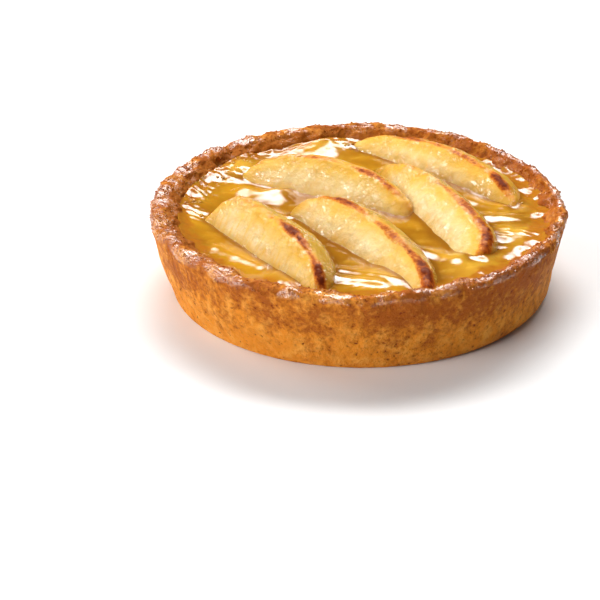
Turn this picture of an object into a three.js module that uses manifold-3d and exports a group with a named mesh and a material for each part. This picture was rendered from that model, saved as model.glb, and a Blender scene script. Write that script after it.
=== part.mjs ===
// An open apple tartlet: a shortcrust shell, a glazed apple filling and five baked apple slices laid on it.
// Millimetres, +Z up. The origin is the middle of the base, on the surface that the tartlet stands on.
// Angles run anticlockwise from +X as seen from above, in degrees, and the front of the tartlet faces -Y.
import * as THREE from "three";
import { mergeVertices } from "three/addons/utils/BufferGeometryUtils.js";
import Module from "manifold-3d";

const wasm = await Module();
wasm.setup();

// Driving dimensions
const RIM_RADIUS = 55; // outside of the crust just under the crest
const BASE_RADIUS = 50.2; // outside of the crust at the base
const HEIGHT = 22.2; // mean height of the crest
const CREST_WIDTH = 4.4;
const HOLLOW_SHIFT = 1.1; // the hollow sits this far towards +X, so the left wall is the thicker one
const FLOOR = 4.5; // thickness of the bottom crust
const FILLING_LEVEL = 18.7; // mean height of the glazed filling
const GAP = 0.32; // how far a neighbour is grown before it is cut away, which keeps the solids apart
const CRUST_STEPS = 112;
const FILLING_STEPS = 72;
const FILLING_RINGS = 9;
const SLICE_STATIONS = 20;

// Rises and dips of the hand-pressed crest: angle, lift and the half width of the bump in degrees
const RIM_BUMPS = [
  { at: 88, lift: 0.25, reach: 12 },
  { at: 62, lift: 0.6, reach: 3.5 },
  { at: 55, lift: 0.45, reach: 4 },
  { at: 38, lift: -0.4, reach: 9 },
  { at: 118, lift: -0.5, reach: 9 },
  { at: 134, lift: -1, reach: 4 },
  { at: 141, lift: 0.5, reach: 5 },
  { at: 160, lift: -0.6, reach: 10 },
  { at: 202, lift: 0.4, reach: 8 },
  { at: 232, lift: -0.4, reach: 7 },
  { at: 271, lift: -0.6, reach: 6 },
  { at: 284, lift: 0.35, reach: 6 },
  { at: 318, lift: 0.3, reach: 12 },
];

// Lumps of apple under the glaze: place, height above the level, and half width
const LUMPS = [
  { x: 27, y: -33, lift: 1.5, reach: 6.5 },
  { x: 41, y: -13, lift: 1.7, reach: 6 },
  { x: -31, y: 27, lift: 2.6, reach: 4.2 },
  { x: -8, y: 45, lift: 1.2, reach: 5 },
  { x: 7, y: -36, lift: 0.9, reach: 6 },
  { x: -41, y: -10, lift: 0.7, reach: 7 },
  { x: 38, y: 18, lift: 1.1, reach: 5 },
  { x: 30, y: 8, lift: -0.9, reach: 6 },
  { x: -20, y: 38, lift: -0.6, reach: 8 },
  { x: -33, y: 8, lift: -0.5, reach: 7 },
];

// Apple slices. x and y place the middle of the core edge and z its height, heading turns the length, lean raises the
// cut face that shows, pitch lifts the far end, and width is the cut face from core to ridge. bluntA and bluntB shape
// the two ends (2 is an ellipse, more is squarer), bow is how far the core edge curves out, and twist turns the ends.
const SLICES = [
  { name: "slice_front_left", x: -25.9, y: -26.6, z: 16.1, heading: -52.5, lean: 58, pitch: 0, length: 52,
    width: 16.8, bluntA: 4.2, bluntB: 1.7, bow: 3.6, bulge: 1.7, twist: 4 },
  { name: "slice_front_middle", x: -2.2, y: -24.2, z: 16.1, heading: -53.5, lean: 46, pitch: 1.4, length: 57,
    width: 20.5, bluntA: 2.4, bluntB: 1.7, bow: 7, bulge: 2.6, twist: -4 },
  { name: "slice_back_left", x: -10.1, y: 8.2, z: 16.1, heading: -30, lean: 43, pitch: 5, length: 52,
    width: 18, bluntA: 1.7, bluntB: 2.1, bow: 3, bulge: 3, twist: 0 },
  { name: "slice_back_middle", x: 14.4, y: -1.2, z: 16.4, heading: -68, lean: 43, pitch: -0.6, length: 62,
    width: 17.6, bluntA: 1.7, bluntB: 3.4, bow: 4.2, bulge: 2, twist: -16 },
  { name: "slice_back_right", x: 19.6, y: 23.7, z: 16.1, heading: -44.5, lean: 45, pitch: 5.5, length: 60,
    width: 12.6, bluntA: 2, bluntB: 2.8, bow: 0.4, bulge: 2.6, twist: 14 },
];
const CORE_RADIUS = 13; // of the hole that the core left
const WEDGE = 35; // degrees between a slice's two cut faces
const CROWN = 0.5; // how far a baked cut face swells in the middle

const rad = THREE.MathUtils.degToRad;
const bell = (distance, reach) => Math.exp(-((distance / reach) ** 2));
const turnBetween = (a, b) => Math.abs(((((a - b) % 360) + 540) % 360) - 180);

const crustColour = { color: 0xb9702f, roughness: 0.75, metalness: 0 };
const fillingColour = { color: 0xc98612, roughness: 0.2, metalness: 0 };
const sliceColour = { color: 0xe8cd85, roughness: 0.35, metalness: 0 };

// A closed geometry as a manifold solid, after its shared vertices are merged.
function solidFrom(geometry) {
  const bare = geometry.clone();
  bare.deleteAttribute("normal");
  bare.deleteAttribute("uv");
  const merged = mergeVertices(bare, 1e-4);
  return new wasm.Manifold(
    new wasm.Mesh({
      numProp: 3,
      vertProperties: merged.attributes.position.array,
      triVerts: new Uint32Array(merged.index.array),
    }),
  );
}

function geometryFrom(solid) {
  const mesh = solid.getMesh();
  const geometry = new THREE.BufferGeometry();
  geometry.setAttribute("position", new THREE.BufferAttribute(mesh.vertProperties, 3));
  geometry.setIndex(new THREE.BufferAttribute(mesh.triVerts, 1));
  geometry.computeVertexNormals();
  return geometry;
}

// The same shape grown by a distance: each vertex moves out far enough to carry every face that meets there.
function grown(geometry, distance) {
  const bare = geometry.clone();
  bare.deleteAttribute("normal");
  bare.deleteAttribute("uv");
  const merged = mergeVertices(bare, 1e-4);
  const { position } = merged.attributes;
  const corners = [...merged.index.array];
  const at = (i) => new THREE.Vector3().fromBufferAttribute(position, i);
  const facing = Array.from({ length: position.count }, () => []);
  for (let t = 0; t < corners.length; t += 3) {
    const [a, b, c] = corners.slice(t, t + 3);
    const normal = at(b).sub(at(a)).cross(at(c).sub(at(a)));
    if (normal.length() > 1e-9) for (const i of [a, b, c]) facing[i].push(normal.clone().normalize());
  }
  facing.forEach((normals, i) => {
    const out = normals.reduce((sum, n) => sum.add(n), new THREE.Vector3()).normalize();
    const least = Math.max(0.3, Math.min(...normals.map((n) => n.dot(out))));
    const moved = at(i).addScaledVector(out, distance / least);
    position.setXYZ(i, moved.x, moved.y, moved.z);
  });
  return merged;
}

// Crust

function rimLift(degrees) {
  return RIM_BUMPS.reduce((sum, bump) => sum + bump.lift * bell(turnBetween(degrees, bump.at), bump.reach), 0);
}

// Crumb and knuckle marks of the baked crust, about half a millimetre either way.
function crumb(degrees, z) {
  const a = rad(degrees);
  return (
    0.16 * Math.sin(9 * a + 0.35 * z) +
    0.14 * Math.sin(21 * a - 0.8 * z + 1.3) +
    0.16 * Math.sin(31 * a + 1.7 * z + 0.4) * Math.sin(0.6 * z + 5 * a) +
    0.12 * Math.sin(47 * a + 2.3 * z)
  );
}

// The hollow of the crust from the crest down, as radius and height.
const HOLLOW_EDGE = RIM_RADIUS - CREST_WIDTH;
const KNEE = FILLING_LEVEL - 2.2; // above this height the hollow widens quickly towards the crest
const WAIST = 12;
const CORNER = 1.5; // rise of the slope between the bottom crust and the wall
const HOLLOW = [
  [HOLLOW_EDGE + 0.2, HEIGHT - 0.6],
  [HOLLOW_EDGE - 2, HEIGHT - 2.2],
  [HOLLOW_EDGE - 4.2, KNEE],
  [HOLLOW_EDGE - 5.2, WAIST],
  [HOLLOW_EDGE - 6.4, FLOOR + CORNER],
  [HOLLOW_EDGE - 8.2, FLOOR],
];

function hollowRadius(z) {
  const i = HOLLOW.findIndex(([, low]) => low <= z);
  const [[r1, z1], [r0, z0]] = [HOLLOW[Math.max(i - 1, 0)], HOLLOW[Math.max(i, 1)]];
  return THREE.MathUtils.mapLinear(z, z0, z1, r0, r1);
}

function crustGeometry() {
  const lean = (RIM_RADIUS - BASE_RADIUS) / (HEIGHT - 1.5); // how far the wall leans out per millimetre of height
  const outside = [0.9, 3.5, 6.5, 9.5, 12.5, 15.5, 18, HEIGHT - 1.5].map((z) => [BASE_RADIUS + lean * z, z]);
  const crest = [
    [RIM_RADIUS - 0.5, HEIGHT - 0.4],
    [RIM_RADIUS - 0.3 * CREST_WIDTH, HEIGHT + 0.2],
    [RIM_RADIUS - 0.65 * CREST_WIDTH, HEIGHT + 0.1],
  ];
  const profile = [[0, 0], [BASE_RADIUS - 0.8, 0], ...outside, ...crest, ...HOLLOW, [0, FLOOR]];
  const points = profile.map(([r, z]) => new THREE.Vector2(r, z));
  const geometry = new THREE.LatheGeometry(points, CRUST_STEPS).rotateX(Math.PI / 2);
  const position = geometry.attributes.position;
  for (let i = 0; i < position.count; i++) {
    const [x, y, z] = [position.getX(i), position.getY(i), position.getZ(i)];
    const r = Math.hypot(x, y);
    const hollow = r < hollowRadius(HEIGHT) - 0.1 && z > 0.1;
    const shift = hollow && r > 1 ? HOLLOW_SHIFT : 0;
    const shows = z > 0.1 && (!hollow || z > HEIGHT - 1); // the flat base and the inner wall below the crest stay plain
    const degrees = THREE.MathUtils.radToDeg(Math.atan2(y, x));
    const share = THREE.MathUtils.smoothstep(z, 0.6 * HEIGHT, HEIGHT); // only the top of the wall rises and dips
    const push = shows ? 1 + crumb(degrees, z) / r : 1;
    const lift = shows ? share * (rimLift(degrees) + 0.8 * crumb(degrees + 7, 2 * r)) : 0;
    position.setXYZ(i, x * push + shift, y * push, z + lift);
  }
  geometry.computeBoundingBox();
  const centre = geometry.boundingBox.getCenter(new THREE.Vector3());
  return geometry.translate(-centre.x, -centre.y, 0);
}

// Filling

function fillingHeight(x, y) {
  const waves =
    0.25 * Math.sin(0.21 * x + 0.13 * y + 1) + 0.2 * Math.sin(0.34 * y - 0.19 * x) + 0.12 * Math.sin(0.55 * x + 0.4 * y);
  const lumps = LUMPS.reduce((sum, l) => sum + l.lift * bell(Math.hypot(x - l.x, y - l.y), l.reach), 0);
  return FILLING_LEVEL + waves + lumps;
}

// A plug that follows the hollow of the crust, whose top is the glazed surface.
function fillingGeometry() {
  const underside = FLOOR + GAP;
  const side = [FLOOR + CORNER + GAP, WAIST, KNEE].map((z) => [hollowRadius(z) - GAP, z]);
  const rim = hollowRadius(FILLING_LEVEL) - GAP;
  const top = [...Array(FILLING_RINGS + 1).keys()].map((i) => [(rim * i) / FILLING_RINGS, FILLING_LEVEL]).reverse();
  const points = [[0, underside], [hollowRadius(FLOOR) - GAP, underside], ...side, ...top];
  const geometry = new THREE.LatheGeometry(
    points.map(([r, z]) => new THREE.Vector2(r, z)),
    FILLING_STEPS,
  ).rotateX(Math.PI / 2);
  const position = geometry.attributes.position;
  for (let i = 0; i < position.count; i++) {
    const [x, y, z] = [position.getX(i), position.getY(i), position.getZ(i)];
    const r = Math.hypot(x, y);
    const level = z > FILLING_LEVEL - 0.1 ? fillingHeight(x, y) : z;
    const push = r > rim - 0.1 ? (hollowRadius(Math.min(level, FILLING_LEVEL)) - GAP) / r : 1; // up to the crust
    position.setXYZ(i, x * (level === z ? 1 : push) + (r > 1 ? HOLLOW_SHIFT : 0), y * (level === z ? 1 : push), level);
  }
  return geometry;
}

// Apple slices

// The cross-section of a slice at u, from -1 to 1 along its length, as points across and above its showing cut face.
function sliceSection(slice, u) {
  const blunt = u < 0 ? slice.bluntA : slice.bluntB;
  const width = slice.width * Math.sqrt(1 - Math.abs(u) ** blunt);
  const thick = Math.sqrt(1 - Math.abs(u) ** 3);
  const edge = -slice.bow * (1 - u * u);
  const at = (radius, degrees) => [
    edge - CORE_RADIUS + radius * Math.cos(rad(degrees)),
    -thick * radius * Math.sin(rad(degrees)),
  ];
  const face = [0, 0.2, 0.45, 0.72, 0.93].map((t) => [
    edge + t * width,
    CROWN * thick * Math.sin(Math.PI * t) * (width / slice.width),
  ]);
  const skin = [0.06, 0.25, 0.5, 0.78, 1].map((t) =>
    at(CORE_RADIUS + width + slice.bulge * thick * Math.sin(Math.PI * t) * (width / slice.width), t * WEDGE),
  );
  const hidden = [
    at(CORE_RADIUS + 0.5 * width, WEDGE),
    at(CORE_RADIUS + 0.12 * width, 0.8 * WEDGE),
    at(CORE_RADIUS, 0.4 * WEDGE),
  ];
  return [...face, ...skin, ...hidden];
}

function sliceGeometry(slice) {
  const place = new THREE.Matrix4()
    .makeTranslation(slice.x, slice.y, slice.z)
    .multiply(new THREE.Matrix4().makeRotationZ(rad(slice.heading)))
    .multiply(new THREE.Matrix4().makeRotationY(rad(slice.pitch)))
    .multiply(new THREE.Matrix4().makeRotationX(rad(slice.lean)));
  const point = (u, [across, up]) => {
    const twist = rad(slice.twist) * u;
    return new THREE.Vector3(
      (u * slice.length) / 2,
      across * Math.cos(twist) - up * Math.sin(twist),
      across * Math.sin(twist) + up * Math.cos(twist),
    ).applyMatrix4(place);
  };
  // Stations crowd towards the ends, where the outline turns fastest.
  const stations = [...Array(SLICE_STATIONS - 1).keys()].map((i) => -Math.cos((Math.PI * (i + 1)) / SLICE_STATIONS));
  const rings = stations.map((u) => sliceSection(slice, u).map((p) => point(u, p)));
  const around = rings[0].length;
  const vertices = [point(-1, [0, 0]), ...rings.flat(), point(1, [0, 0])];
  const index = [];
  for (let j = 0; j < around; j++) {
    const next = (j + 1) % around;
    index.push(0, 1 + j, 1 + next);
    for (let i = 0; i + 1 < rings.length; i++) {
      const [a, b] = [1 + i * around + j, 1 + i * around + next];
      index.push(a, a + around, b, b, a + around, b + around);
    }
    const last = 1 + (rings.length - 1) * around;
    index.push(vertices.length - 1, last + next, last + j);
  }
  const geometry = new THREE.BufferGeometry().setFromPoints(vertices);
  geometry.setIndex(index);
  return geometry;
}

// Assembly

function named(name, geometry, colour) {
  const mesh = new THREE.Mesh(geometry, new THREE.MeshStandardMaterial(colour));
  mesh.name = name;
  return mesh;
}

const crust = crustGeometry();
const roomInCrust = solidFrom(grown(crust, GAP));
const slices = [];
const taken = []; // each finished slice, grown, which the later ones and the filling are cut by
for (const slice of SLICES) {
  const geometry = sliceGeometry(slice);
  let solid = solidFrom(geometry).subtract(roomInCrust);
  for (const other of taken) solid = solid.subtract(other);
  const [largest] = solid.decompose().sort((a, b) => b.volume() - a.volume());
  slices.push(named(slice.name, geometryFrom(largest), sliceColour));
  taken.push(solidFrom(grown(geometry, GAP)));
}
let filling = solidFrom(fillingGeometry());
for (const pocket of taken) filling = filling.subtract(pocket);
const [fillingBody] = filling.decompose().sort((a, b) => b.volume() - a.volume());

const tartlet = new THREE.Group();
tartlet.add(named("crust", crust, crustColour));
tartlet.add(named("filling", geometryFrom(fillingBody), fillingColour));
tartlet.add(...slices);

export default tartlet;
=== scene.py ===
import bpy
import math
import numpy as np
from mathutils import Matrix, Vector


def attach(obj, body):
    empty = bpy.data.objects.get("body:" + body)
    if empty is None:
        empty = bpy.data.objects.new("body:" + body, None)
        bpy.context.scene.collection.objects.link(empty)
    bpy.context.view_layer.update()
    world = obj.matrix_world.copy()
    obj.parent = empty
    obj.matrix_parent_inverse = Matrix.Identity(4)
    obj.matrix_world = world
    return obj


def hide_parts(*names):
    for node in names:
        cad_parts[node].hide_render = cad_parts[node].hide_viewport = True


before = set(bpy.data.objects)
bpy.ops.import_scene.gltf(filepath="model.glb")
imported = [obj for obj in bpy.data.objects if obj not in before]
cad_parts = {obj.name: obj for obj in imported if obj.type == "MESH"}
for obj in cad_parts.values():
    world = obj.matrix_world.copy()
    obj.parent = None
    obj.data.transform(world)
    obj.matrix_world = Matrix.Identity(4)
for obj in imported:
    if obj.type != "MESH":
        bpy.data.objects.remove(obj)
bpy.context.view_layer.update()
mm = 0.001


def pickOnly(*objects):
    if bpy.context.object and bpy.context.object.mode == "EDIT":
        bpy.ops.object.mode_set(mode="OBJECT")
    bpy.ops.object.select_all(action="DESELECT")
    for thing in objects:
        thing.select_set(True)
    bpy.context.view_layer.objects.active = objects[0]


def addModifier(piece, kind, **settings):
    pickOnly(piece)
    modifier = piece.modifiers.new(kind.lower(), kind)
    for key, value in settings.items():
        setattr(modifier, key, value)
    bpy.ops.object.modifier_apply(modifier=modifier.name)


def subdivideOpen(piece, levels):
    # the many-sided end caps come off while the rings are smoothed, and go back on after
    pickOnly(piece)
    bpy.ops.object.mode_set(mode="EDIT")
    bpy.ops.mesh.select_all(action="DESELECT")
    bpy.ops.mesh.select_face_by_sides(number=4, type="GREATER")
    bpy.ops.mesh.delete(type="ONLY_FACE")
    bpy.ops.object.mode_set(mode="OBJECT")
    addModifier(piece, "SUBSURF", levels=levels, render_levels=levels)


def closeCaps(piece):
    pickOnly(piece)
    bpy.ops.object.mode_set(mode="EDIT")
    bpy.ops.mesh.select_all(action="SELECT")
    bpy.ops.mesh.fill_holes(sides=0)
    bpy.ops.mesh.select_all(action="SELECT")
    bpy.ops.mesh.normals_make_consistent(inside=False)
    bpy.ops.object.mode_set(mode="OBJECT")


def weighVertices(piece, groupName, weights):
    group = piece.vertex_groups.new(name=groupName)
    for index, weight in enumerate(weights):
        if weight > 0.001:
            group.add([index], min(float(weight), 1.0), "REPLACE")


def roughen(piece, name, size, strength, depth=2, kind="CLOUDS", contrast=1.0, **settings):
    # size of the bumps and how far they push, in mm
    texture = bpy.data.textures.new(name, kind)
    texture.noise_scale = size * mm
    texture.contrast = contrast
    if kind == "CLOUDS":
        texture.noise_depth = depth
    addModifier(piece, "DISPLACE", texture=texture, strength=strength * mm, **settings)


def raiseWhere(piece, groupName, weights, lift):
    weighVertices(piece, groupName, weights)
    addModifier(piece, "DISPLACE", strength=lift * mm, mid_level=0, direction="Z", vertex_group=groupName)


def vertexPlaces(piece):
    places = np.empty(len(piece.data.vertices) * 3)
    piece.data.vertices.foreach_get("co", places)
    return places.reshape(-1, 3)


def storeNumber(piece, name, values):
    attribute = piece.data.attributes.new(name, "FLOAT", "POINT")
    attribute.data.foreach_set("value", np.asarray(values, dtype=np.float32))


def smoothStep(low, high, values):
    t = np.clip((values - low) / (high - low), 0, 1)
    return t * t * (3 - 2 * t)


def bell(distance, reach):
    return np.exp(-((distance / reach) ** 2))


def distanceToLine(points, start, end):
    start, end = np.array(start, dtype=float), np.array(end, dtype=float)
    step = end - start
    share = np.clip((points - start) @ step / (step @ step), 0, 1)
    return np.linalg.norm(points - start - share[:, None] * step, axis=1)


def finishPiece(piece, material, slotName, *nodes):
    piece.data.materials.clear()
    piece.data.materials.append(material)
    pickOnly(piece)
    bpy.ops.object.shade_smooth()
    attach(piece, "root")
    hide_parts(*nodes)


def newMaterial(name, finish):
    material = bpy.data.materials.new(name)
    material.use_nodes = True
    shader = material.node_tree.nodes["Principled BSDF"]
    for socket, value in finish.items():
        shader.inputs[socket].default_value = value
    return material, material.node_tree, shader


def addNode(tree, kind, inputs=None, **settings):
    node = tree.nodes.new("ShaderNode" + kind)
    for key, value in settings.items():
        setattr(node, key, value)
    for key, value in (inputs or {}).items():
        if isinstance(value, bpy.types.NodeSocket):
            tree.links.new(value, node.inputs[key])
        else:
            node.inputs[key].default_value = value
    return node


def noiseOf(tree, place, size, detail=3.0, rough=0.55, twist=0.0):
    scale = 1 / (size * mm)
    inputs = {"Vector": place, "Scale": scale, "Detail": detail, "Roughness": rough, "Distortion": twist}
    return addNode(tree, "TexNoise", inputs).outputs["Fac"]


def rangeOf(tree, value, low, high, toLow=0.0, toHigh=1.0):
    inputs = {"Value": value, "From Min": low, "From Max": high, "To Min": toLow, "To Max": toHigh}
    return addNode(tree, "MapRange", inputs, interpolation_type="SMOOTHSTEP").outputs["Result"]


def mathOf(tree, operation, a, b=0.0):
    return addNode(tree, "Math", {0: a, 1: b}, operation=operation).outputs[0]


def sumOf(tree, first, *others):
    for other in others:
        first = mathOf(tree, "ADD", first, other)
    return first


def timesOf(tree, a, b):
    return mathOf(tree, "MULTIPLY", a, b)


def swingOf(tree, noise, size):
    # the noise swings either way of its middle
    return timesOf(tree, mathOf(tree, "SUBTRACT", noise, 0.5), size)


def mixOf(tree, share, a, b):
    return addNode(tree, "Mix", {0: share, 6: a, 7: b}, data_type="RGBA").outputs[2]


def objectPlace(tree):
    return addNode(tree, "TexCoord").outputs["Object"]


def drawnOut(tree, place, share):
    # a share below 1 draws the pattern out upwards
    return addNode(tree, "Mapping", {"Vector": place, "Scale": (1, 1, share)}).outputs["Vector"]


def numberAt(tree, name):
    return addNode(tree, "Attribute", attribute_name=name).outputs["Fac"]


def addBump(tree, shader, socket, height, strength, distance):
    bump = addNode(tree, "Bump", {"Strength": strength, "Distance": distance * mm, "Height": height})
    tree.links.new(bump.outputs["Normal"], shader.inputs[socket])


camera = {
    "elevation": 26.998,
    "distance": 0.55,
    "focalPixels": 2043.5,
    "originPixel": (356.4, 276.5),  # where the middle of the base shows in the picture
    "roll": -0.797,
    "picture": 600,
    "sensor": 36,
}


def makeCamera():
    angle = math.radians(camera["elevation"])
    seat = Vector((0, -math.cos(angle), math.sin(angle))) * camera["distance"]
    half = camera["picture"] / 2
    focal = camera["focalPixels"]
    ahead = -seat.normalized()
    right = Vector((1, 0, 0))
    up = right.cross(ahead)
    aside = math.atan((camera["originPixel"][0] - half) / focal)
    tilt = math.atan((camera["originPixel"][1] - half) / focal * math.cos(aside))
    turn = Matrix.Rotation(tilt, 3, right)
    up, ahead = turn @ up, turn @ ahead
    turn = Matrix.Rotation(aside, 3, up)
    ahead, right = turn @ ahead, turn @ right
    turn = Matrix.Rotation(math.radians(camera["roll"]), 3, ahead)
    up, right = turn @ up, turn @ right
    bpy.ops.object.camera_add(location=seat)
    eye = bpy.context.object
    eye.name = "camera"
    eye.matrix_world = Matrix.Translation(seat) @ Matrix((right, up, -ahead)).transposed().to_4x4()
    eye.data.lens = focal / camera["picture"] * camera["sensor"]
    eye.data.sensor_width = camera["sensor"]
    bpy.context.scene.camera = eye
    print("camera: placed")


studio = {
    "skyLow": 0.05,
    "skyHigh": 0.2,
    "skyHeights": (0.4, 0.9),  # the room grows paler from the first to the second, 1 being straight up
    # lamps: watts, then width and depth, and place, in metres
    "keyLight": (24, (1.6, 0.66), (0.05, 0.72, 0.98)),
    "sideLight": (5, (0.5, 0.5), (-1.05, 0.5, 0.75)),
    "fillLight": (15, (0.9, 0.8), (-0.95, -0.75, 0.62)),
    "softEdge": 0.42,  # share of the key's width and depth over which it fades, at each side
    "keyGain": 2.4,
    "floorSize": 6,
    "floorFinish": {"Base Color": (0.86, 0.855, 0.85, 1), "Roughness": 0.7},
}


def makeLight(name):
    power, size, place = studio[name]
    bpy.ops.object.light_add(type="AREA", location=place)
    lamp = bpy.context.object
    lamp.name = name
    lamp.data.shape = "RECTANGLE"
    lamp.data.energy = power
    lamp.data.size, lamp.data.size_y = size
    lamp.rotation_euler = (-Vector(place)).to_track_quat("-Z", "Y").to_euler()
    return lamp


def softenEdges(lamp):
    # the lamp fades towards its edges, as a lit cloth does, so that its reflections have soft borders
    lamp.data.use_nodes = True
    tree = lamp.data.node_tree
    across = addNode(tree, "SeparateXYZ", {0: addNode(tree, "NewGeometry").outputs["Parametric"]}).outputs
    glow = studio["keyGain"]
    for axis in ("X", "Y"):
        glow = timesOf(tree, glow, rangeOf(tree, across[axis], 0.0, studio["softEdge"]))
        glow = timesOf(tree, glow, rangeOf(tree, across[axis], 1.0, 1 - studio["softEdge"]))
    tree.links.new(glow, tree.nodes["Emission"].inputs["Strength"])


def makeStudio():
    world = bpy.data.worlds.new("studio")
    world.use_nodes = True
    tree = world.node_tree
    tree.nodes["Background"].inputs["Color"].default_value = (1, 1, 1, 1)
    # the room is pale overhead and dim low down, so that the glaze keeps its colour
    height = addNode(tree, "SeparateXYZ", {0: addNode(tree, "TexCoord").outputs["Generated"]}).outputs["Z"]
    glow = rangeOf(tree, height, *studio["skyHeights"], studio["skyLow"], studio["skyHigh"])
    tree.links.new(glow, tree.nodes["Background"].inputs["Strength"])
    bpy.context.scene.world = world
    softenEdges(makeLight("keyLight"))
    makeLight("sideLight")
    makeLight("fillLight")
    bpy.ops.mesh.primitive_plane_add(size=studio["floorSize"], location=(0, 0, 0))
    floor = bpy.context.object
    floor.name = "paleFloor"
    material, _, _ = newMaterial("paleFloor", studio["floorFinish"])
    floor.data.materials.append(material)
    bpy.context.scene.view_settings.view_transform = "Standard"
    print("studio: lights and floor made")


def scatterOn(ground, grain, name, numberName, density, sizes, seed, tumbled=True):
    # the grain is copied all over the ground where the stored number is high, and the copies become one mesh
    tree = bpy.data.node_groups.new(name, "GeometryNodeTree")
    tree.interface.new_socket(name="Geometry", in_out="INPUT", socket_type="NodeSocketGeometry")
    tree.interface.new_socket(name="Geometry", in_out="OUTPUT", socket_type="NodeSocketGeometry")
    start, end = tree.nodes.new("NodeGroupInput"), tree.nodes.new("NodeGroupOutput")
    number = tree.nodes.new("GeometryNodeInputNamedAttribute")
    number.data_type = "FLOAT"
    number.inputs["Name"].default_value = numberName
    amount = tree.nodes.new("ShaderNodeMath")
    amount.operation = "MULTIPLY"
    amount.inputs[1].default_value = density / mm**2
    spread = tree.nodes.new("GeometryNodeDistributePointsOnFaces")
    spread.inputs["Seed"].default_value = seed
    source = tree.nodes.new("GeometryNodeObjectInfo")
    source.inputs["Object"].default_value = grain
    turn = tree.nodes.new("FunctionNodeRandomValue")
    turn.data_type = "FLOAT_VECTOR"
    turn.inputs["Max"].default_value = (6.28, 6.28, 6.28)  # up to a whole turn about each axis
    turn.inputs["Seed"].default_value = seed
    size = tree.nodes.new("FunctionNodeRandomValue")
    size.data_type = "FLOAT"
    size.inputs[2].default_value, size.inputs[3].default_value = sizes
    size.inputs["Seed"].default_value = seed + 1
    place = tree.nodes.new("GeometryNodeInstanceOnPoints")
    real = tree.nodes.new("GeometryNodeRealizeInstances")
    link = tree.links.new
    link(start.outputs[0], spread.inputs["Mesh"])
    link(number.outputs["Attribute"], amount.inputs[0])
    link(amount.outputs[0], spread.inputs["Density"])
    link(spread.outputs["Points"], place.inputs["Points"])
    link(source.outputs["Geometry"], place.inputs["Instance"])
    if tumbled:
        link(turn.outputs["Value"], place.inputs["Rotation"])
    link(size.outputs[1], place.inputs["Scale"])
    link(place.outputs["Instances"], real.inputs["Geometry"])
    link(real.outputs["Geometry"], end.inputs[0])
    piece = bpy.data.objects.new(name, ground.data.copy())
    bpy.context.scene.collection.objects.link(piece)
    addModifier(piece, "NODES", node_group=tree)
    pickOnly(grain)
    bpy.ops.object.delete()
    return piece


crust = {
    "segments": 200,
    # radius and height in mm, from the base up the outside, over the crest and down the hollow
    "outside": [
        (49.6, 0.0), (50.1, 0.5), (50.7, 2.2), (51.3, 4.6), (51.9, 7.2), (52.5, 9.8), (53.1, 12.4),
        (53.7, 15.0), (54.3, 17.4), (54.8, 19.2), (55.1, 20.4), (55.0, 21.3), (54.6, 22.0), (53.9, 22.4),
        (53.1, 22.6), (52.3, 22.5), (51.5, 22.2),
    ],
    "hollow": [
        (50.8, 21.6), (50.1, 21.1), (49.4, 20.6), (48.7, 20.0), (48.1, 19.2), (47.5, 18.3), (46.6, 16.8),
        (45.4, 12.0), (44.2, 6.0), (42.4, 4.6),
    ],
    "hollowShift": 1.1,
    # relief: size and push in mm, where it is, its kind and its contrast
    "relief": [
        ("crustSwell", 12, 0.55, "shows", "CLOUDS", 1.0),
        ("crustCrumb", 2.6, 0.34, "shows", "CLOUDS", 1.0),
        ("crustCrag", 4.5, 1.0, "crest", "CLOUDS", 1.5),
        ("crustBreak", 5.5, 1.8, "inner", "CLOUDS", 1.7),
        ("crustSand", 1.4, -0.2, "crest", "VORONOI", 1.0),
    ],
    # where each share of the shell grows from nothing to whole, in mm of height or of radius
    "showsAbove": (0.2, 2),
    "showsOutside": (45.5, 47),
    "crestAbove": (16, 20.5),
    "crestDrop": 5,  # how much lower the crest reaches down the hollow's side
    "crestDropInside": (52, 49),
    "innerAbove": (15, 17),
    "innerInside": (52.2, 50.4),
    "sandyAbove": (19.5, 21.2),
    "sandyOutside": (48.8, 50.4),
    "sandyInside": (55.6, 54.6),
    "grains": 0.8,  # for each square millimetre of crest
    "grainSizes": (0.3, 0.8),
    "grainForm": (1, 0.8, 0.62),
    "grainRelief": (0.5, 0.4),  # size and push in mm
    "grainSeed": 3,
    "golden": (0.79, 0.275, 0.027, 1),
    "pale": (0.85, 0.36, 0.058, 1),
    "brown": (0.38, 0.095, 0.012, 1),
    "dark": (0.20, 0.035, 0.006, 1),
    # the hollow's wall: browned by the boiled filling, and darkened as painted shade
    "soakedAndShaded": (0.36, 0.10, 0.008, 1),
    # patterns: size in mm, detail, roughness and twist
    "blotch": (9.5, 7, 0.66, 0.3),
    "fleck": (3.4, 5, 0.68),
    "speck": (1.3, 4, 0.62),
    "grain": (0.5, 3, 0.6),
    "streak": (2.1, 3, 0.6),
    "damp": (7.5, 4, 0.6),
    # browning, and a darkening towards the right: from and to on each measure, and what it adds to the
    # blotches there
    "browning": {
        "height": (3 * mm, 20.5 * mm, -0.13, 0.22),
        "fleck": (0.3, 0.7, 0.07, -0.07),
        "speck": (0.35, 0.65, 0.1, -0.1),
        "streak": (0.35, 0.65, 0.03, -0.03),
        # across: the wall is made darker towards the right
        "across": (-20 * mm, 55 * mm, -0.02, 0.05),
    },
    "crestPale": 0.05,
    "finish": {
        "Roughness": 0.6,
        "Specular IOR Level": 0.08,
        "Specular Tint": (1, 0.8, 0.55, 1),
        "Coat Roughness": 0.06,
        "Coat IOR": 1.9,
        "Subsurface Weight": 0.12,
        "Subsurface Radius": (0.002, 0.0008, 0.0003),
        "Subsurface Scale": 1.0,
    },
    "bump": (1.0, 0.6),  # strength, and height in mm
    "glazeBump": (0.5, 0.6),
}


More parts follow.
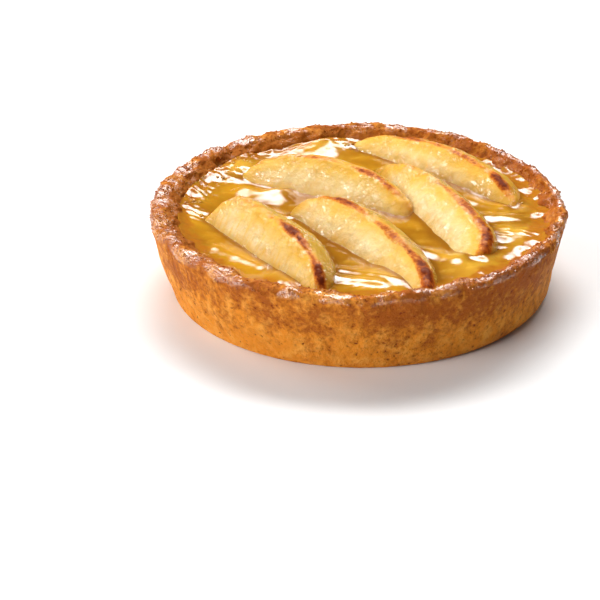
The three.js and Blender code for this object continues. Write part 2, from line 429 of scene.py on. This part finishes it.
def makeCrust():
    shift = crust["hollowShift"] * mm
    rings = [(radius, height, 0) for radius, height in crust["outside"]]
    rings += [(radius, height, shift) for radius, height in crust["hollow"]]
    bpy.ops.mesh.primitive_circle_add(
        vertices=crust["segments"], radius=rings[0][0] * mm, fill_type="NGON", location=(0, 0, 0)
    )
    piece = bpy.context.object
    piece.name = "bakedCrust"
    bpy.ops.object.mode_set(mode="EDIT")
    bpy.ops.mesh.select_all(action="SELECT")
    for (fromRadius, fromHeight, fromAside), (toRadius, toHeight, toAside) in zip(rings, rings[1:]):
        rise = (toHeight - fromHeight) * mm
        bpy.ops.mesh.extrude_region_move(TRANSFORM_OT_translate={"value": (toAside - fromAside, 0, rise)})
        share = toRadius / fromRadius
        bpy.ops.transform.resize(value=(share, share, 1), center_override=(toAside, 0, toHeight * mm))
    bpy.ops.mesh.select_all(action="SELECT")
    bpy.ops.mesh.normals_make_consistent(inside=False)
    bpy.ops.object.mode_set(mode="OBJECT")
    addModifier(piece, "SHRINKWRAP", target=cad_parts["crust"], wrap_method="NEAREST_SURFACEPOINT")
    addModifier(piece, "SMOOTH", factor=0.5, iterations=2)
    subdivideOpen(piece, 2)
    shares = crustShares(vertexPlaces(piece) / mm)
    for name in ("shows", "crest", "inner"):
        weighVertices(piece, name, shares[name])
    for name, size, push, where, kind, contrast in crust["relief"]:
        roughen(piece, name, size, push, kind=kind, contrast=contrast, vertex_group=where)
    storeNumber(piece, "crestShare", shares["crest"])
    storeNumber(piece, "hollowShare", shares["inner"])
    storeNumber(piece, "sandy", shares["sandy"])
    closeCaps(piece)
    material = crustMaterial()
    finishPiece(piece, material, "crust", "crust")
    print("crust: baked shell made,", len(piece.data.polygons), "faces")
    makeGrains(piece, material)


def crustShares(places):
    # how much each vertex belongs to the part that shows, the crest, the hollow's wall and the sandy top
    x, y, height = places.T
    reach = np.hypot(x, y)
    inward = np.hypot(x - crust["hollowShift"], y)
    shows = smoothStep(*crust["showsAbove"], height) * smoothStep(*crust["showsOutside"], inward)
    drop = crust["crestDrop"] * smoothStep(*crust["crestDropInside"], inward)
    crest = shows * smoothStep(*crust["crestAbove"], height + drop)
    inner = shows * smoothStep(*crust["innerInside"], inward) * smoothStep(*crust["innerAbove"], height)
    sandy = smoothStep(*crust["sandyAbove"], height) * smoothStep(*crust["sandyOutside"], inward)
    sandy = sandy * smoothStep(*crust["sandyInside"], reach)
    patches = 0.6 + 0.4 * np.sin(x / 4.1 + 1.3) * np.sin(y / 3.3)
    return {"shows": shows, "crest": crest, "inner": inner, "sandy": sandy * patches}


def makeGrains(shell, material):
    bpy.ops.object.select_all(action="DESELECT")
    # a ball 1 mm across, which the sizes scale
    bpy.ops.mesh.primitive_ico_sphere_add(subdivisions=2, radius=0.5 * mm, location=(0, 0, 0))
    grain = bpy.context.object
    bpy.ops.transform.resize(value=crust["grainForm"])
    bpy.ops.object.transform_apply(scale=True)
    roughen(grain, "grainShape", *crust["grainRelief"], depth=0)
    for name in ("crestShare", "sandy"):
        storeNumber(grain, name, np.ones(len(grain.data.vertices)))
    amount, sizes, seed = crust["grains"], crust["grainSizes"], crust["grainSeed"]
    grains = scatterOn(shell, grain, "crestGrains", "sandy", amount, sizes, seed)
    finishPiece(grains, material, "crust")
    print("crust: grains on the crest made,", len(grains.data.polygons), "faces")


def crustMaterial():
    material, tree, shader = newMaterial("bakedPastry", crust["finish"])
    place = objectPlace(tree)
    axes = addNode(tree, "SeparateXYZ", {0: place}).outputs
    crest, inner = numberAt(tree, "crestShare"), numberAt(tree, "hollowShare")
    blotch = noiseOf(tree, place, *crust["blotch"])
    fleck = noiseOf(tree, drawnOut(tree, place, 0.85), *crust["fleck"])
    speck = noiseOf(tree, place, *crust["speck"])
    grain = noiseOf(tree, place, *crust["grain"])
    streak = noiseOf(tree, drawnOut(tree, place, 0.16), *crust["streak"])
    tone = mixOf(tree, rangeOf(tree, fleck, 0.44, 0.66), crust["golden"], crust["pale"])
    # brown towards the crest, in blotches that break up into flecks
    measures = {"height": axes["Z"], "fleck": fleck, "speck": speck, "streak": streak, "across": axes["X"]}
    added = [rangeOf(tree, measures[name], *span) for name, span in crust["browning"].items()]
    share = mathOf(tree, "SUBTRACT", sumOf(tree, blotch, *added), timesOf(tree, crest, crust["crestPale"]))
    tone = mixOf(tree, rangeOf(tree, share, 0.28, 0.8), tone, crust["brown"])
    pits = sumOf(tree, rangeOf(tree, speck, 0.38, 0.3), rangeOf(tree, fleck, 0.36, 0.29, 0, 0.7))
    tone = mixOf(tree, mathOf(tree, "MINIMUM", pits, 1.0), tone, crust["dark"])
    # the hollow's wall is darkened all round as painted shade, most at the left, where it is also browner
    # from the filling that boiled against it
    soakedAndShaded = timesOf(tree, inner, rangeOf(tree, axes["X"], 35 * mm, -10 * mm, 0.3, 1.0))
    soakedAndShaded = timesOf(tree, soakedAndShaded, rangeOf(tree, fleck, 0.35, 0.65, 1.0, 0.55))
    tone = mixOf(tree, soakedAndShaded, tone, crust["soakedAndShaded"])
    tree.links.new(tone, shader.inputs["Base Color"])
    # glaze on the sandy top, in patches that are larger at the left and right
    top = rangeOf(tree, numberAt(tree, "sandy"), 0.1, 0.5)
    top = timesOf(tree, top, rangeOf(tree, inner, 0.1, 0.7, 1.0, 0.12))
    top = mathOf(tree, "MAXIMUM", top, timesOf(tree, inner, 0.1))
    sides = rangeOf(tree, mathOf(tree, "ABSOLUTE", axes["X"]), 25 * mm, 50 * mm, 0.0, 0.08)
    damp = sumOf(tree, noiseOf(tree, place, *crust["damp"]), sides)
    wet = timesOf(tree, top, rangeOf(tree, damp, 0.46, 0.54))
    tree.links.new(wet, shader.inputs["Coat Weight"])
    crumb = sumOf(tree, timesOf(tree, fleck, 1.5), timesOf(tree, speck, 0.9), timesOf(tree, grain, 0.35))
    addBump(tree, shader, "Normal", crumb, *crust["bump"])
    sugar = sumOf(tree, speck, timesOf(tree, grain, 0.3))
    addBump(tree, shader, "Coat Normal", sugar, *crust["glazeBump"])
    return material


# places repeat the solids: middle of the core edge in mm, then degrees. Burns sit on the ridge: place
# from -1 to 1 along it, half length on the same scale, half width in mm towards the cut face and
# towards the skin, and strength
slices = [
    {
        "node": "slice_front_left", "at": (-25.9, -26.6, 16.1), "heading": -52.5, "lean": 58, "pitch": 0,
        "length": 52, "width": 16.8, "blunt": (4.2, 1.7), "bow": 3.6, "twist": 4,
        "fibres": 1.0, "sparkle": 0.2,
        "burns": [
            (0.22, 0.16, 1.0, 2.4, 1.3), (0.4, 0.16, 0.7, 1.6, 1.3), (0.62, 0.2, 0.5, 0.9, 1.2),
            (0.86, 0.16, 0.9, 1.3, 1.3), (-0.12, 0.07, 0.7, 0.7, 0.8), (-0.26, 0.05, 0.5, 0.5, 0.7),
        ],
    },
    {
        "node": "slice_front_middle", "at": (-2.2, -24.2, 16.1), "heading": -53.5, "lean": 46, "pitch": 1.4,
        "length": 57, "width": 20.5, "blunt": (2.4, 1.7), "bow": 7, "twist": -4,
        "fibres": 0.3, "sparkle": 1.0,
        "burns": [
            (-0.5, 0.2, 1.2, 1.6, 1.2), (-0.3, 0.12, 1.0, 1.0, 0.9), (0.08, 0.14, 1.3, 0.9, 0.85),
            (0.25, 0.12, 1.8, 1.2, 1.0), (0.56, 0.16, 1.3, 1.0, 0.9), (0.8, 0.2, 1.6, 1.6, 1.15),
        ],
    },
    {
        "node": "slice_back_left", "at": (-10.1, 8.2, 16.1), "heading": -30, "lean": 43, "pitch": 5,
        "length": 52, "width": 18, "blunt": (1.7, 2.1), "bow": 3, "twist": 0,
        "fibres": 0.3, "sparkle": 0.5,
        "burns": [
            (0.26, 0.13, 1.3, 1.1, 1.2), (0.45, 0.1, 0.9, 1.2, 0.9), (0.6, 0.1, 1.5, 1.0, 1.0),
            (-0.3, 0.25, 1.2, 0.8, 0.5),
        ],
    },
    {
        "node": "slice_back_middle", "at": (14.4, -1.2, 16.4), "heading": -68, "lean": 43, "pitch": -0.6,
        "length": 62, "width": 17.6, "blunt": (1.7, 3.4), "bow": 4.2, "twist": -16,
        "fibres": 0.2, "sparkle": 0.1,
        "burns": [
            (0.05, 0.18, 0.8, 1.0, 0.7), (0.36, 0.18, 1.4, 1.4, 0.9), (0.6, 0.16, 1.5, 1.4, 1.0),
            (0.8, 0.13, 1.6, 1.8, 1.25),
        ],
    },
    {
        "node": "slice_back_right", "at": (19.6, 23.7, 16.1), "heading": -44.5, "lean": 45, "pitch": 5.5,
        "length": 60, "width": 12.6, "blunt": (2, 2.8), "bow": 0.4, "twist": 14,
        "fibres": 0.1, "sparkle": 0.9,
        "burns": [
            (-0.5, 0.16, 1.3, 1.0, 1.0), (-0.2, 0.14, 0.9, 1.0, 0.7), (0.18, 0.16, 1.2, 1.1, 0.95),
            (0.66, 0.13, 1.3, 1.2, 1.15),
        ],
    },
]
sliceLook = {
    "voxel": 0.36,
    "coreRadius": 13,
    "smoothing": 9,
    "plump": 1.3,  # how far the slice is filled out at its front end, in mm
    "plumpShare": 0.25,  # of that along the rest of it
    "plumpFrom": (0.45, 0.95),  # place along it, from -1 to 1
    "ridgeWidth": 1.6,
    "burnFade": (0.3, 1.9),  # from burnt to clean, in a burn's half lengths or widths
    "burnNarrow": 1.35,  # how much sooner it fades across the ridge
    # relief: size and push in mm, detail, and where it is
    "relief": [
        ("sliceSwell", 12, 0.9, 2, ""),
        ("sliceGrain", 3, 0.2, 2, ""),
        ("sliceCrinkle", 4.5, 1.3, 1, "ridge"),
    ],
    "cream": (0.79, 0.63, 0.33, 1),
    "straw": (0.78, 0.49, 0.095, 1),
    "gold": (0.71, 0.38, 0.034, 1),
    "amber": (0.64, 0.36, 0.038, 1),
    # the lowest part of each slice: soaked with glaze, and darkened as painted shade
    "soakedAndShaded": (0.64, 0.34, 0.040, 1),
    "toasted": (0.62, 0.21, 0.014, 1),
    "brown": (0.40, 0.085, 0.006, 1),
    "burnt": (0.15, 0.019, 0.003, 1),
    # patterns: size in mm, detail, roughness and twist
    "cloud": (7, 4, 0.6, 0.4),
    "fine": (1.6, 3, 0.6),
    "tiny": (0.7, 2, 0.6),
    "fibre": (1.3, 3, 0.6),
    "fibreStretch": 0.12,  # a share below 1 draws the fibres out down the cut face
    "damp": (6, 2),
    "puddle": (3, 2, 0.5, 1.0),
    "finish": {
        "Specular IOR Level": 0.12,
        "Specular Tint": (1, 0.7, 0.45, 1),
        "Coat Roughness": 0.08,
        "Coat IOR": 1.7,
        "Subsurface Weight": 0.35,
        "Subsurface Radius": (0.004, 0.0022, 0.0009),
        "Subsurface Scale": 1.0,
    },
    "bump": (0.7, 0.5),  # strength, and height in mm
    "syrupBump": (1.0, 0.8),
}


def slicePlace(wedge):
    turns = ((wedge["heading"], "Z"), (wedge["pitch"], "Y"), (wedge["lean"], "X"))
    place = Matrix.Translation(Vector(wedge["at"]) * mm)
    for degrees, axis in turns:
        place = place @ Matrix.Rotation(math.radians(degrees), 4, axis)
    return place


def sliceCoordinates(piece, wedge):
    # place along the slice from -1 to 1, and mm from the ridge down the cut face and round the skin
    inverse = np.array(slicePlace(wedge).inverted())
    places = vertexPlaces(piece)
    local = (places @ inverse[:3, :3].T + inverse[:3, 3]) / mm
    along = np.clip(local[:, 0] / (wedge["length"] / 2), -0.999, 0.999)
    twist = np.radians(wedge["twist"]) * along
    across = local[:, 1] * np.cos(twist) + local[:, 2] * np.sin(twist)
    up = local[:, 2] * np.cos(twist) - local[:, 1] * np.sin(twist)
    blunt = np.where(along < 0, wedge["blunt"][0], wedge["blunt"][1])
    width = wedge["width"] * np.sqrt(1 - np.abs(along) ** blunt)
    fromAxis = across + wedge["bow"] * (1 - along**2) + sliceLook["coreRadius"]
    radius = np.hypot(fromAxis, up)
    turn = np.arctan2(-up, fromAxis)
    onSkin = np.clip(turn, 0, None) * radius
    onFace = np.clip(sliceLook["coreRadius"] + width - radius, 0, None)
    return along, onFace, onSkin


def burntShare(wedge, along, onFace, onSkin):
    burnt = np.zeros(len(along))
    for at, reach, toFace, toSkin, strength in wedge["burns"]:
        aside = np.hypot(onFace / toFace, onSkin / toSkin) * sliceLook["burnNarrow"]
        away = np.hypot((along - at) / reach, aside)
        burnt = np.maximum(burnt, strength * (1 - smoothStep(*sliceLook["burnFade"], away)))
    return burnt


def makeSlice(wedge):
    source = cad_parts[wedge["node"]]
    piece = bpy.data.objects.new("baked_" + wedge["node"], source.data.copy())
    bpy.context.scene.collection.objects.link(piece)
    pickOnly(piece)
    bpy.ops.object.mode_set(mode="EDIT")
    bpy.ops.mesh.select_all(action="SELECT")
    bpy.ops.mesh.remove_doubles(threshold=0.02 * mm)
    bpy.ops.object.mode_set(mode="OBJECT")
    addModifier(piece, "REMESH", mode="VOXEL", voxel_size=sliceLook["voxel"] * mm)
    addModifier(piece, "SMOOTH", factor=0.5, iterations=sliceLook["smoothing"])
    along, onFace, onSkin = sliceCoordinates(piece, wedge)
    # the smoothing draws the slice in, so it is filled out again, most at its plump front end
    least = sliceLook["plumpShare"]
    weighVertices(piece, "plump", least + (1 - least) * smoothStep(*sliceLook["plumpFrom"], along))
    addModifier(piece, "DISPLACE", strength=sliceLook["plump"] * mm, mid_level=0, vertex_group="plump")
    weighVertices(piece, "ridge", bell(np.maximum(onFace, onSkin), sliceLook["ridgeWidth"]))
    for name, size, push, depth, where in sliceLook["relief"]:
        roughen(piece, name, size, push, depth=depth, vertex_group=where)
    storeNumber(piece, "along", along * wedge["length"] / 2 * mm)
    storeNumber(piece, "onFace", onFace)
    storeNumber(piece, "onSkin", onSkin)
    storeNumber(piece, "burnt", burntShare(wedge, along, onFace, onSkin))
    finishPiece(piece, sliceMaterial(wedge), "baked_apple", wedge["node"])
    print("slice:", wedge["node"], len(piece.data.polygons), "faces")
    return piece


def sliceMaterial(wedge):
    material, tree, shader = newMaterial("bakedApple_" + wedge["node"], sliceLook["finish"])
    place = objectPlace(tree)
    height = addNode(tree, "SeparateXYZ", {0: place}).outputs["Z"]
    onFace, onSkin = numberAt(tree, "onFace"), numberAt(tree, "onSkin")
    cloud = noiseOf(tree, place, *sliceLook["cloud"])
    fine = noiseOf(tree, place, *sliceLook["fine"])
    tiny = noiseOf(tree, place, *sliceLook["tiny"])
    # flesh: cream in the middle of the face, yellow towards the ridge and the ends
    fromRidge = sumOf(tree, onFace, swingOf(tree, cloud, 8.0))
    tone = mixOf(tree, rangeOf(tree, fromRidge, 9.0, 2.0), sliceLook["cream"], sliceLook["straw"])
    tone = mixOf(tree, rangeOf(tree, fromRidge, 4.6, -0.6), tone, sliceLook["gold"])
    across = timesOf(tree, onFace, sliceLook["fibreStretch"] * mm)
    fibrePlace = addNode(tree, "CombineXYZ", {"X": numberAt(tree, "along"), "Y": across, "Z": 0.0}).outputs[0]
    fibre = noiseOf(tree, fibrePlace, *sliceLook["fibre"])
    strands = rangeOf(tree, fibre, 0.48, 0.66, 0.0, 0.75 * wedge["fibres"])
    tone = mixOf(tree, strands, tone, sliceLook["straw"])
    tone = mixOf(tree, rangeOf(tree, onSkin, 0.8, 2.6), tone, sliceLook["amber"])
    # the glaze soaks into the lowest few millimetres, which are also darkened there as painted shade
    soakShadeHeight = sumOf(tree, height, swingOf(tree, cloud, 6 * mm))
    tone = mixOf(tree, rangeOf(tree, soakShadeHeight, 22.5 * mm, 18 * mm, 0.0, 0.9), tone, sliceLook["soakedAndShaded"])
    # toasted line along the ridge, then the burnt patches
    edge = mathOf(tree, "MAXIMUM", onFace, timesOf(tree, onSkin, 0.8))
    edge = sumOf(tree, edge, swingOf(tree, fine, 3.2))
    toasted = timesOf(tree, rangeOf(tree, edge, 1.7, -0.2), rangeOf(tree, cloud, 0.35, 0.65, 0.25, 0.8))
    tone = mixOf(tree, toasted, tone, sliceLook["toasted"])
    rag = sumOf(tree, swingOf(tree, fine, 1.6), swingOf(tree, tiny, 1.0), swingOf(tree, cloud, 1.2))
    mark = numberAt(tree, "burnt")
    burnt = sumOf(tree, mark, timesOf(tree, rag, rangeOf(tree, mark, 0.02, 0.3)))
    tone = mixOf(tree, rangeOf(tree, burnt, 0.02, 0.34, 0.0, 0.95), tone, sliceLook["toasted"])
    tone = mixOf(tree, rangeOf(tree, burnt, 0.36, 0.75), tone, sliceLook["brown"])
    tone = mixOf(tree, rangeOf(tree, burnt, 0.72, 1.2), tone, sliceLook["burnt"])
    tree.links.new(tone, shader.inputs["Base Color"])
    # wet in patches, and drier where it is burnt
    wet = rangeOf(tree, noiseOf(tree, place, *sliceLook["damp"]), 0.42, 0.6)
    rough = sumOf(tree, rangeOf(tree, wet, 0, 1, 0.36, 0.13), rangeOf(tree, burnt, 0.3, 0.8, 0.0, 0.22))
    tree.links.new(rough, shader.inputs["Roughness"])
    film = timesOf(tree, rangeOf(tree, wet, 0, 1, 0.2, 1.0), rangeOf(tree, burnt, 0.1, 0.6, 1.0, 0.04))
    tree.links.new(film, shader.inputs["Coat Weight"])
    relief = sumOf(tree, timesOf(tree, fine, 0.8), timesOf(tree, tiny, 0.25))
    addBump(tree, shader, "Normal", relief, *sliceLook["bump"])
    puddle = noiseOf(tree, place, *sliceLook["puddle"])
    relief = sumOf(tree, relief, timesOf(tree, puddle, 1.4 + 6.0 * wedge["sparkle"]))
    addBump(tree, shader, "Coat Normal", relief, *sliceLook["syrupBump"])
    return material


filling = {
    "segments": 128,
    # radius and height in mm, up the side and in over the meeting with the crust
    "side": [
        (41.9, 4.85), (43.8, 6.5), (45.0, 12.0), (46.4, 16.6), (48.6, 18.6), (49.6, 20.2), (48.9, 20.0),
        (48.0, 19.6),
    ],
    "level": 18.7,
    "topRings": 22,
    "topRadius": 46.6,
    "rimRise": 0.5,  # of the surface at the crust, within a seventh of the radius
    "rimSteepness": 7,
    "pole": (-6, 13),
    "shift": 1.1,
    # place, lift and reach in mm, as in the solid apart from one low lump at the left
    "lumps": [
        (27, -33, 1.5, 6.5), (41, -13, 1.7, 6), (-31, 27, 2.6, 4.2), (-8, 45, 1.2, 5), (7, -36, 0.9, 6),
        (38, 18, 1.1, 5), (30, 8, -0.9, 6), (-20, 38, -0.6, 8), (-33, 8, -0.5, 7),
    ],
    "lumpSpread": 1.9,
    # where each share of the surface grows from nothing to whole, in mm of height or of radius
    "upperAbove": (16, 18),
    "rimOutside": (42.5, 47),
    "boiledOutside": (39, 45),
    "rampsInside": (47, 45.5),
    "bubblyInside": (47.6, 47.0),
    # relief: size and push in mm, detail, where it is and which way it goes
    "relief": [
        ("glazeSwell", 13, 0.4, 0, "upper", "NORMAL"),
        ("glazeRipple", 4.5, 0.25, 1, "upper", "NORMAL"),
        ("glazeBoil", 2.2, 0.7, 1, "boiled", "NORMAL"),
        ("glazeRim", 5, 1.3, 2, "rim", "Z"),
    ],
    # where the glaze boiled at the crust: degrees, reach in degrees, and strength
    "boiled": [(148, 32, 1.0), (12, 22, 0.6), (95, 9, 0.6)],
    # folds that the glaze set in: from and to in mm, half width and lift
    "folds": [
        ((-20, -36), (-17, -41.5), 2.2, 0.8), ((-6, -37), (6, -41), 1.6, 0.7),
        ((-4, -33), (10, -39), 1.6, 0.45), ((17, -22), (25, -28), 2.4, 0.8), ((34, -1), (42, -2), 2.6, 0.9),
        ((43, 8), (47, 0), 2.0, 0.7), ((30, 11), (38, 5), 2.4, 0.7), ((-36, -21.5), (-24.5, -31), 2.0, 0.5),
        ((26, -25), (32, -27), 2.0, 0.55), ((32, -27), (41, -20.5), 2.2, 0.55),
    ],
    # slopes that face the front: from and to across, from and to in depth, and rise
    "ramps": [((-24, -8), (36.5, 45), 1.25), ((-33, -19), (4.5, 12), 1.6)],
    # ladders of ripples: from and to in mm, half width, step from ripple to ripple and lift
    "ladders": [
        ((-43.6, 16), (-42, -3.5), 3.2, 3.4, 0.72), ((-40.5, 28), (-34, 24), 2.8, 2.5, 0.52),
        ((-33, 36), (-27, 32.5), 2.4, 2.6, 0.55), ((-6, -42.5), (10, -44.5), 2.8, 1.8, 0.36),
        ((37.5, -7), (37.3, -19), 2.0, 3.6, 0.75), ((41, -8), (44, -13), 2.2, 2.2, 0.42),
        ((-25, 3), (-18, -3), 1.8, 2.6, 0.5),
    ],
    "rungRise": 0.8,  # share of a ripple's step over which it rises
    "climb": 0.14,  # of the glaze up each slice in turn, and how far off it begins
    "climbReach": 0.7,
    # painted shade beside the slices: reach, where it is cut off, and the radius inside which it lies
    "shadeReach": 1.3,
    "shadeLimit": 4,
    "shadeInside": 46,
    # bubbles: place and reach in mm, and strength
    "bubbles": [
        (-9, 48, 4, 1.0), (-3, 45, 4, 0.7), (-41, 22, 6, 0.5), (-43, 8, 5, 0.5), (-36, 31, 5, 0.7),
        (44, 8, 5, 0.4),
    ],
    "bubbleAmount": 0.3,  # for each square millimetre
    "bubbleSizes": (0.5, 1.7),
    "bubbleSunk": 0.24,
    "bubbleSeed": 5,
    # the colour of the painted shade beside the slices
    "shade": (0.30, 0.105, 0.004, 1),
    "deep": (0.34, 0.125, 0.003, 1),
    "amber": (0.59, 0.275, 0.011, 1),
    "apple": (0.77, 0.44, 0.050, 1),
    "baked": (0.46, 0.155, 0.008, 1),
    # patterns: size in mm, detail, roughness and twist
    "cloud": (18, 3, 0.5, 0.5),
    "fine": (4.5, 3, 0.55, 0.4),
    "finish": {
        "Roughness": 0.07,
        "Specular IOR Level": 0.5,
        "Subsurface Weight": 0.3,
        "Subsurface Radius": (0.004, 0.0016, 0.0003),
        "Subsurface Scale": 1.0,
    },
    "bump": (0.12, 0.6),  # strength, and height in mm
}


def makeFilling(slicePieces):
    level = filling["level"]
    shares = [1 - i / filling["topRings"] for i in range(filling["topRings"])]
    rises = [filling["rimRise"] * max(0, 1 - (1 - share) * filling["rimSteepness"]) ** 2 for share in shares]
    top = [(filling["topRadius"] * share, level + rise) for share, rise in zip(shares, rises)]
    ring = filling["side"] + top
    bpy.ops.object.select_all(action="DESELECT")
    bpy.ops.mesh.primitive_circle_add(
        vertices=filling["segments"], radius=ring[0][0] * mm, fill_type="NGON",
        location=(0, 0, ring[0][1] * mm),
    )
    piece = bpy.context.object
    piece.name = "glazedFilling"
    bpy.ops.object.transform_apply(location=True)
    bpy.ops.object.mode_set(mode="EDIT")
    bpy.ops.mesh.select_all(action="SELECT")
    for (fromRadius, fromHeight), (toRadius, toHeight) in zip(ring, ring[1:]):
        rise = (toHeight - fromHeight) * mm
        bpy.ops.mesh.extrude_region_move(TRANSFORM_OT_translate={"value": (0, 0, rise)})
        share = toRadius / fromRadius
        middle = filling["pole"] if toRadius < filling["topRadius"] else (0, 0)
        bpy.ops.transform.resize(
            value=(share, share, 1), center_override=(middle[0] * mm, middle[1] * mm, toHeight * mm)
        )
    bpy.ops.mesh.select_all(action="SELECT")
    bpy.ops.mesh.normals_make_consistent(inside=False)
    bpy.ops.transform.translate(value=(filling["shift"] * mm, 0, 0))
    for x, y, lift, reach in filling["lumps"]:
        liftNear(piece, Vector((x, y, level)) * mm, lift * mm, filling["lumpSpread"] * reach * mm)
    bpy.ops.object.mode_set(mode="OBJECT")
    subdivideOpen(piece, 2)
    places = vertexPlaces(piece) / mm
    upper = smoothStep(*filling["upperAbove"], places[:, 2])
    inward = np.hypot(places[:, 0] - filling["shift"], places[:, 1])
    rim = smoothStep(*filling["rimOutside"], inward) * upper
    shapeGlaze(piece, places, upper, inward, rim)
    climbSlices(piece, slicePieces)
    near = (upper > 0.5) & (inward < filling["shadeInside"])
    # how much painted shade each point of the glaze gets from the slices beside it
    storeNumber(piece, "paintedShade", paintedShadeShare(piece, slicePieces, near))
    storeNumber(piece, "rimShare", rim)
    bubbly = np.zeros(len(places))
    for x, y, reach, strength in filling["bubbles"]:
        bubbly = np.maximum(bubbly, strength * bell(np.hypot(places[:, 0] - x, places[:, 1] - y), reach))
    storeNumber(piece, "bubbly", bubbly * upper * smoothStep(*filling["bubblyInside"], inward))
    closeCaps(piece)
    material = fillingMaterial()
    finishPiece(piece, material, "filling", "filling")
    print("filling: glazed surface made,", len(piece.data.polygons), "faces")
    makeBubbles(piece, material)


def liftNear(piece, place, rise, reach):
    bpy.ops.object.mode_set(mode="OBJECT")
    nearest = min(piece.data.vertices, key=lambda v: (v.co - place).length_squared)
    for part in (piece.data.vertices, piece.data.edges, piece.data.polygons):
        part.foreach_set("select", [False] * len(part))
    nearest.select = True
    bpy.ops.object.mode_set(mode="EDIT")
    bpy.ops.mesh.select_mode(type="VERT")
    bpy.ops.transform.translate(
        value=(0, 0, rise), use_proportional_edit=True, proportional_edit_falloff="SMOOTH",
        proportional_size=reach,
    )


def shapeGlaze(piece, places, upper, inward, rim):
    x, y = places[:, 0], places[:, 1]
    around = np.degrees(np.arctan2(y, x))
    boiled = sum(strength * bell(around - at, reach) for at, reach, strength in filling["boiled"])
    weighVertices(piece, "upper", upper)
    boiled = np.clip(boiled, 0, 1) * smoothStep(*filling["boiledOutside"], inward)
    weighVertices(piece, "boiled", boiled * upper)
    weighVertices(piece, "rim", rim)
    for name, size, push, depth, where, way in filling["relief"]:
        roughen(piece, name, size, push, depth=depth, direction=way, vertex_group=where)
    for number, (start, end, width, lift) in enumerate(filling["folds"]):
        weights = bell(distanceToLine(places[:, :2], start, end), width) * upper
        raiseWhere(piece, f"fold{number}", weights, lift)
    for number, ((left, right), (near, far), lift) in enumerate(filling["ramps"]):
        depth = y + 1.1 * np.sin(x / 2.3) + 0.6 * np.sin(x / 1.1 + 1)  # wavers, so that no edge is straight
        slope = np.clip((depth - near) / (far - near), 0, 1) * smoothStep(far + 4, far + 0.5, depth)
        sides = smoothStep(left - 4, left + 3, x) * smoothStep(right + 4, right - 3, x)
        weights = slope * sides * smoothStep(*filling["rampsInside"], inward) * upper
        raiseWhere(piece, f"ramp{number}", weights, lift)
    # each ripple rises gently away from the front and drops back quickly
    for number, (start, end, width, step, lift) in enumerate(filling["ladders"]):
        wander = np.sin(x / 1.7 + number) * 0.4 + np.sin(y / 2.9 + x / 3.7) * 0.45
        share = np.mod(y / step + wander, 1)
        rise = filling["rungRise"]
        rung = np.where(share < rise, share / rise, (1 - share) / (1 - rise))
        away = distanceToLine(places[:, :2], start, end) / (width * (1 + 0.35 * np.sin(y / 2.3)))
        weights = rung * (0.75 + 0.25 * np.sin(y / 1.9 + 2)) * np.exp(-(away**4)) * upper
        raiseWhere(piece, f"ladder{number}", weights, lift)


def climbSlices(piece, slicePieces):
    # the glaze climbs the slices that stand in it
    weighVertices(piece, "apart", np.ones(len(piece.data.vertices)))
    for slicePiece in slicePieces:
        addModifier(
            piece, "VERTEX_WEIGHT_PROXIMITY", vertex_group="apart", target=slicePiece,
            proximity_mode="GEOMETRY", proximity_geometry={"FACE"}, min_dist=0,
            max_dist=filling["climbReach"] * mm, falloff_type="SMOOTH",
        )
        addModifier(
            piece, "DISPLACE", strength=filling["climb"] * mm, mid_level=0, direction="Z",
            vertex_group="apart", invert_vertex_group=True,
        )


def paintedShadeShare(piece, slicePieces, near):
    # painted shade: 1 against a slice, and next to nothing at the shade's limit
    paintedShade = np.zeros(len(piece.data.vertices))
    for index in np.flatnonzero(near):
        spot = piece.data.vertices[index].co
        for slicePiece in slicePieces:
            found, nearest, _, _ = slicePiece.closest_point_on_mesh(spot, distance=filling["shadeLimit"] * mm)
            if found:
                gap = (nearest - spot).length / (filling["shadeReach"] * mm)
                paintedShade[index] = max(paintedShade[index], math.exp(-gap))
    return paintedShade


def makeBubbles(surface, material):
    bpy.ops.object.select_all(action="DESELECT")
    # a ball 1 mm across, which the sizes scale, with its middle below the surface
    sunk = -filling["bubbleSunk"] * mm
    bpy.ops.mesh.primitive_uv_sphere_add(segments=16, ring_count=8, radius=0.5 * mm, location=(0, 0, sunk))
    bubble = bpy.context.object
    bpy.ops.object.transform_apply(location=True)
    amount, sizes, seed = filling["bubbleAmount"], filling["bubbleSizes"], filling["bubbleSeed"]
    bubbles = scatterOn(surface, bubble, "glazeBubbles", "bubbly", amount, sizes, seed, tumbled=False)
    finishPiece(bubbles, material, "filling")
    print("filling: bubbles made,", len(bubbles.data.polygons), "faces")


def fillingMaterial():
    material, tree, shader = newMaterial("amberGlaze", filling["finish"])
    place = objectPlace(tree)
    height = addNode(tree, "SeparateXYZ", {0: place}).outputs["Z"]
    cloud = noiseOf(tree, place, *filling["cloud"])
    fine = noiseOf(tree, place, *filling["fine"])
    tone = mixOf(tree, rangeOf(tree, cloud, 0.35, 0.65), filling["deep"], filling["amber"])
    # apple shows through where the surface stands high
    high = rangeOf(tree, height, 18.8 * mm, 21.2 * mm, 0.0, 0.7)
    chunk = sumOf(tree, high, rangeOf(tree, fine, 0.5, 0.8, 0.0, 0.5))
    tone = mixOf(tree, mathOf(tree, "MINIMUM", chunk, 0.9), tone, filling["apple"])
    # painted shade beside the slices, and baked at the crust
    tone = mixOf(tree, rangeOf(tree, numberAt(tree, "paintedShade"), 0.1, 0.8, 0.0, 0.85), tone, filling["shade"])
    edge = sumOf(tree, numberAt(tree, "rimShare"), rangeOf(tree, fine, 0.3, 0.7, -0.35, 0.35))
    tone = mixOf(tree, rangeOf(tree, edge, 0.35, 0.95, 0.0, 0.9), tone, filling["baked"])
    tree.links.new(tone, shader.inputs["Base Color"])
    addBump(tree, shader, "Normal", fine, *filling["bump"])
    return material


makeCamera()
makeStudio()
makeCrust()
slicePieces = [makeSlice(wedge) for wedge in slices]
makeFilling(slicePieces)
